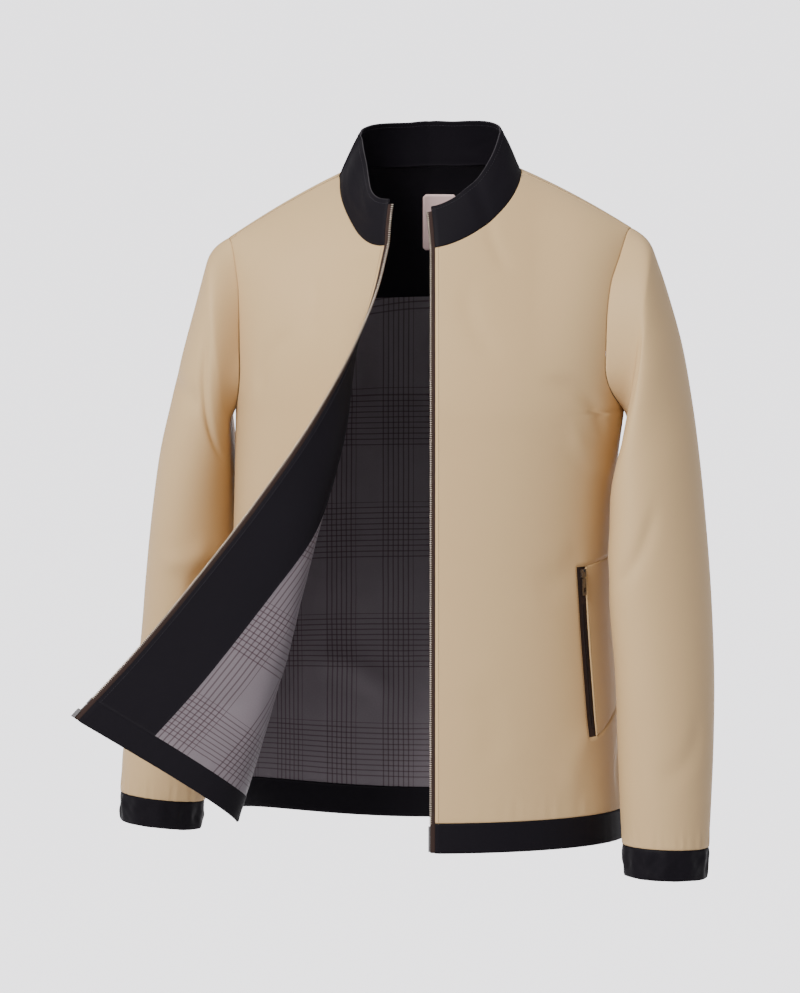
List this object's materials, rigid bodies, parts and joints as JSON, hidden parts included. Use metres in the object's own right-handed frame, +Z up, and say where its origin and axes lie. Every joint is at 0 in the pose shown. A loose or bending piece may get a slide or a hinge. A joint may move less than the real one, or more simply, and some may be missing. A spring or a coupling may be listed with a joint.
{
  "type": "softshell jacket",
  "caption": "Zip jacket with stand collar, hem band and elastic cuffs, in its worn form with no wearer: one front hangs down, the other is turned back over facing and lining.",
  "frame": {"origin": "where the shoulders carry the jacket: on the centre line, at the height of the high points of the shoulders, midway between chest and back", "axes": "+Z up, the jacket's front faces -Y, the wearer's left is +X"},
  "size_m": [0.6587, 0.3419, 0.7686],
  "materials": {
    "cloth": "smooth woven softshell, sand, soft sheen",
    "black_cloth": "matt woven, black",
    "checked_lining": "light plain-weave lining, grey-mauve with a burgundy check",
    "gunmetal": "dark nickel plate, satin",
    "zip_tape": "woven tape, dark brown",
    "label_satin": "satin, plain"
  },
  "bodies": {
    "garment": {"back": "cloth", "band_back": "black_cloth", "band_left": "black_cloth", "band_right": "black_cloth", "collar_inner": "black_cloth", "collar_outer": "black_cloth", "cuff_left": "black_cloth", "cuff_right": "black_cloth", "facing_left": "black_cloth", "facing_right": "black_cloth", "front_left": "cloth", "front_right": "cloth", "lining_back": "checked_lining", "lining_left": "checked_lining", "lining_right": "checked_lining", "neck_facing": "black_cloth", "neck_label": "label_satin", "pocket_side_left": "cloth", "pocket_side_right": "cloth", "pocket_slider_left": "gunmetal", "pocket_slider_right": "gunmetal", "pocket_zip_left": "zip_tape", "pocket_zip_right": "zip_tape", "sleeve_left": "cloth", "sleeve_right": "cloth", "zip_box": "gunmetal", "zip_pin": "gunmetal", "zip_slider": "gunmetal", "zip_tape_left": "zip_tape", "zip_tape_right": "zip_tape"},
    "pull_left": {"pull_left": "gunmetal"},
    "pull_right": {"pull_right": "gunmetal"},
    "pull_front": {"pull_front": "gunmetal"}
  },
  "joints": [
    {"name": "pull_left_hinge", "type": "hinge", "parent": "garment", "child": "pull_left", "pos_m": [0.15709, -0.0805, -0.40599], "axis": [-0.6882, -0.7245, -0.0389], "range_deg": [0, 150]},
    {"name": "pull_right_hinge", "type": "hinge", "parent": "garment", "child": "pull_right", "pos_m": [-0.16756, -0.07809, -0.39962], "axis": [-0.689, 0.7247, 0.0147], "range_deg": [0, 150]},
    {"name": "pull_front_hinge", "type": "hinge", "parent": "garment", "child": "pull_front", "pos_m": [-0.34571, -0.1014, -0.5361], "axis": [0.7042, -0.1614, -0.6914], "range_deg": [0, 150]}
  ]
}
